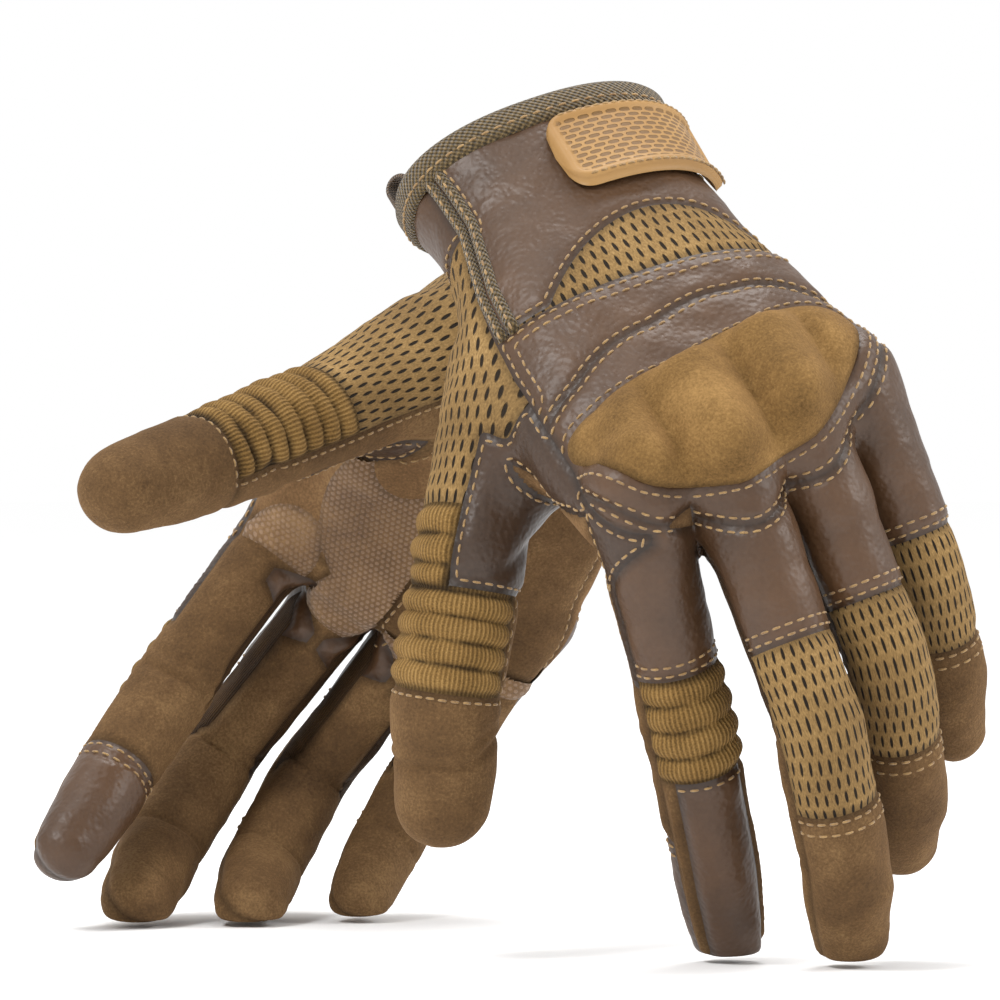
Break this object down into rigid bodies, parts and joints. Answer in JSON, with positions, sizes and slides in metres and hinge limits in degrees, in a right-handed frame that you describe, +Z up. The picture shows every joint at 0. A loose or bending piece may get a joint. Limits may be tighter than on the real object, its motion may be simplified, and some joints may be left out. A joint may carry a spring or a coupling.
{
  "type": "pair of riding gloves",
  "caption": "Pair of leather and suede riding gloves with knuckle guards, mesh panels, jointed fingers and wrist strap tabs, standing on their fingertips.",
  "frame": {"origin": "on the floor under the centre of the pair's box, with both gloves standing on their fingertips", "axes": "+Z up, +X towards the left glove's fingertips, -Y towards the viewer, who sees the back of the left glove"},
  "size_m": [0.2281, 0.2151, 0.2069],
  "materials": {
    "hide": "grained leather",
    "suede": "brushed microfibre suede",
    "grip": "suede with a printed dotted grip",
    "knit": "stretch knit mesh",
    "tape": "woven binding tape",
    "tab_rubber": "moulded rubbery tab with a dash texture",
    "hook": "hook and loop fastener",
    "guard_suede": "suede over a moulded shell"
  },
  "bodies": {
    "left_hand": {"left_palm_panel": "suede", "left_palm_grip": "grip", "left_back_panel": "hide", "left_knuckle_guard": "guard_suede", "left_cuff_panel": "hide", "left_mesh_insert": "knit", "left_cuff_underside": "hide", "left_cuff_binding": "tape", "left_hook_patch": "hook", "left_side_mesh": "knit", "left_ulnar_panel": "suede", "left_thumb_base": "knit", "left_web_patch": "hide"},
    "left_strap": {"left_strap_tab": "tab_rubber"},
    "left_loop": {"left_pull_loop": "tape"},
    "left_thumb_root": {"left_thumb_ribs": "knit"},
    "left_thumb_end": {"left_thumb_tip": "suede"},
    "left_index_root": {"left_index_sleeve": "hide", "left_index_inner": "suede"},
    "left_index_end": {"left_index_tip": "suede"},
    "left_middle_root": {"left_middle_sleeve": "hide", "left_middle_inner": "suede"},
    "left_middle_end": {"left_middle_tip": "suede"},
    "left_ring_root": {"left_ring_sleeve": "hide", "left_ring_inner": "suede"},
    "left_ring_end": {"left_ring_tip": "suede"},
    "left_little_root": {"left_little_sleeve": "hide", "left_little_inner": "suede"},
    "left_little_end": {"left_little_tip": "suede"},
    "right_hand": {"right_palm_panel": "suede", "right_palm_grip": "grip", "right_back_panel": "hide", "right_knuckle_guard": "guard_suede", "right_cuff_panel": "hide", "right_mesh_insert": "knit", "right_cuff_underside": "hide", "right_cuff_binding": "tape", "right_hook_patch": "hook", "right_side_mesh": "knit", "right_ulnar_panel": "suede", "right_thumb_base": "knit", "right_web_patch": "hide"},
    "right_strap": {"right_strap_tab": "tab_rubber"},
    "right_loop": {"right_pull_loop": "tape"},
    "right_thumb_root": {"right_thumb_ribs": "knit"},
    "right_thumb_end": {"right_thumb_tip": "suede"},
    "right_index_root": {"right_index_sleeve": "hide", "right_index_inner": "suede"},
    "right_index_end": {"right_index_tip": "suede"},
    "right_middle_root": {"right_middle_sleeve": "hide", "right_middle_inner": "suede"},
    "right_middle_end": {"right_middle_tip": "suede"},
    "right_ring_root": {"right_ring_sleeve": "hide", "right_ring_inner": "suede"},
    "right_ring_end": {"right_ring_tip": "suede"},
    "right_little_root": {"right_little_sleeve": "hide", "right_little_inner": "suede"},
    "right_little_end": {"right_little_tip": "suede"}
  },
  "joints": [
    {"name": "left_lift", "type": "slide", "parent": "right_hand", "child": "left_hand", "axis": [0, 0, 1], "range_m": [0, 0.25]},
    {"name": "left_index_knuckle", "type": "hinge", "parent": "left_hand", "child": "left_index_root", "pos_m": [0.03276, -0.09432, 0.10205], "axis": [0.9186, 0.2506, 0.3056], "range_deg": [-20, 40]},
    {"name": "left_index_middle", "type": "hinge", "parent": "left_index_root", "child": "left_index_end", "pos_m": [0.04405, -0.07944, 0.05592], "axis": [0.9186, 0.2506, 0.3056], "range_deg": [-20, 40]},
    {"name": "left_middle_knuckle", "type": "hinge", "parent": "left_hand", "child": "left_middle_root", "pos_m": [0.05401, -0.09191, 0.10836], "axis": [0.9151, 0.256, 0.3114], "range_deg": [-20, 40]},
    {"name": "left_middle_middle", "type": "hinge", "parent": "left_middle_root", "child": "left_middle_end", "pos_m": [0.07297, -0.09736, 0.05713], "axis": [0.9151, 0.256, 0.3114], "range_deg": [-20, 40]},
    {"name": "left_ring_knuckle", "type": "hinge", "parent": "left_hand", "child": "left_ring_root", "pos_m": [0.07159, -0.08209, 0.11753], "axis": [0.9005, 0.2775, 0.3347], "range_deg": [-20, 40]},
    {"name": "left_ring_middle", "type": "hinge", "parent": "left_ring_root", "child": "left_ring_end", "pos_m": [0.08962, -0.08334, 0.07006], "axis": [0.9005, 0.2775, 0.3347], "range_deg": [-20, 40]},
    {"name": "left_little_knuckle", "type": "hinge", "parent": "left_hand", "child": "left_little_root", "pos_m": [0.08533, -0.06821, 0.12807], "axis": [0.8848, 0.2986, 0.3577], "range_deg": [-20, 40]},
    {"name": "left_little_middle", "type": "hinge", "parent": "left_little_root", "child": "left_little_end", "pos_m": [0.09952, -0.06556, 0.09075], "axis": [0.8848, 0.2986, 0.3577], "range_deg": [-20, 40]},
    {"name": "left_thumb_lower", "type": "hinge", "parent": "left_hand", "child": "left_thumb_root", "pos_m": [-0.00623, -0.06213, 0.09955], "axis": [0.8999, -0.4191, -0.1204], "range_deg": [-12, 30]},
    {"name": "left_thumb_upper", "type": "hinge", "parent": "left_thumb_root", "child": "left_thumb_end", "pos_m": [-0.01213, -0.06402, 0.06206], "axis": [0.8999, -0.4191, -0.1204], "range_deg": [-12, 30]},
    {"name": "left_strap_peel", "type": "hinge", "parent": "left_hand", "child": "left_strap", "pos_m": [0.04673, -0.02137, 0.19027], "axis": [-0.373, 0.6214, 0.689], "range_deg": [0, 90]},
    {"name": "left_loop_flop", "type": "hinge", "parent": "left_hand", "child": "left_loop", "pos_m": [-0.01555, -0.01226, 0.17193], "axis": [0.6254, 0.726, -0.286], "range_deg": [-15, 30]},
    {"name": "right_index_knuckle", "type": "hinge", "parent": "right_hand", "child": "right_index_root", "pos_m": [-0.0535, 0.07692, 0.09768], "axis": [-0.7756, -0.148, 0.6137], "range_deg": [-20, 40]},
    {"name": "right_index_middle", "type": "hinge", "parent": "right_index_root", "child": "right_index_end", "pos_m": [-0.08178, 0.06403, 0.05883], "axis": [-0.7756, -0.148, 0.6137], "range_deg": [-20, 40]},
    {"name": "right_middle_knuckle", "type": "hinge", "parent": "right_hand", "child": "right_middle_root", "pos_m": [-0.03771, 0.08284, 0.08309], "axis": [-0.7916, -0.1396, 0.5948], "range_deg": [-20, 40]},
    {"name": "right_middle_middle", "type": "hinge", "parent": "right_middle_root", "child": "right_middle_end", "pos_m": [-0.07125, 0.09322, 0.0409], "axis": [-0.7916, -0.1396, 0.5948], "range_deg": [-20, 40]},
    {"name": "right_ring_knuckle", "type": "hinge", "parent": "right_hand", "child": "right_ring_root", "pos_m": [-0.01781, 0.08282, 0.07344], "axis": [-0.8072, -0.1311, 0.5755], "range_deg": [-20, 40]},
    {"name": "right_ring_middle", "type": "hinge", "parent": "right_ring_root", "child": "right_ring_end", "pos_m": [-0.04757, 0.09771, 0.03508], "axis": [-0.8072, -0.1311, 0.5755], "range_deg": [-20, 40]},
    {"name": "right_little_knuckle", "type": "hinge", "parent": "right_hand", "child": "right_little_root", "pos_m": [0.00336, 0.07904, 0.06793], "axis": [-0.8366, -0.1138, 0.5358], "range_deg": [-20, 40]},
    {"name": "right_little_middle", "type": "hinge", "parent": "right_little_root", "child": "right_little_end", "pos_m": [-0.01819, 0.093, 0.03725], "axis": [-0.8366, -0.1138, 0.5358], "range_deg": [-20, 40]},
    {"name": "right_thumb_lower", "type": "hinge", "parent": "right_hand", "child": "right_thumb_root", "pos_m": [-0.04554, 0.01857, 0.12616], "axis": [-0.7155, 0.6237, 0.3148], "range_deg": [-12, 30]},
    {"name": "right_thumb_upper", "type": "hinge", "parent": "right_thumb_root", "child": "right_thumb_end", "pos_m": [-0.07205, -0.00658, 0.11574], "axis": [-0.7155, 0.6237, 0.3148], "range_deg": [-12, 30]},
    {"name": "right_strap_peel", "type": "hinge", "parent": "right_hand", "child": "right_strap", "pos_m": [0.0538, 0.05796, 0.1355], "axis": [-0.6371, 0.3082, -0.7065], "range_deg": [0, 90]},
    {"name": "right_loop_flop", "type": "hinge", "parent": "right_hand", "child": "right_loop", "pos_m": [0.01595, 0.02683, 0.17905], "axis": [-0.4627, 0.6023, 0.6505], "range_deg": [-15, 30]}
  ]
}
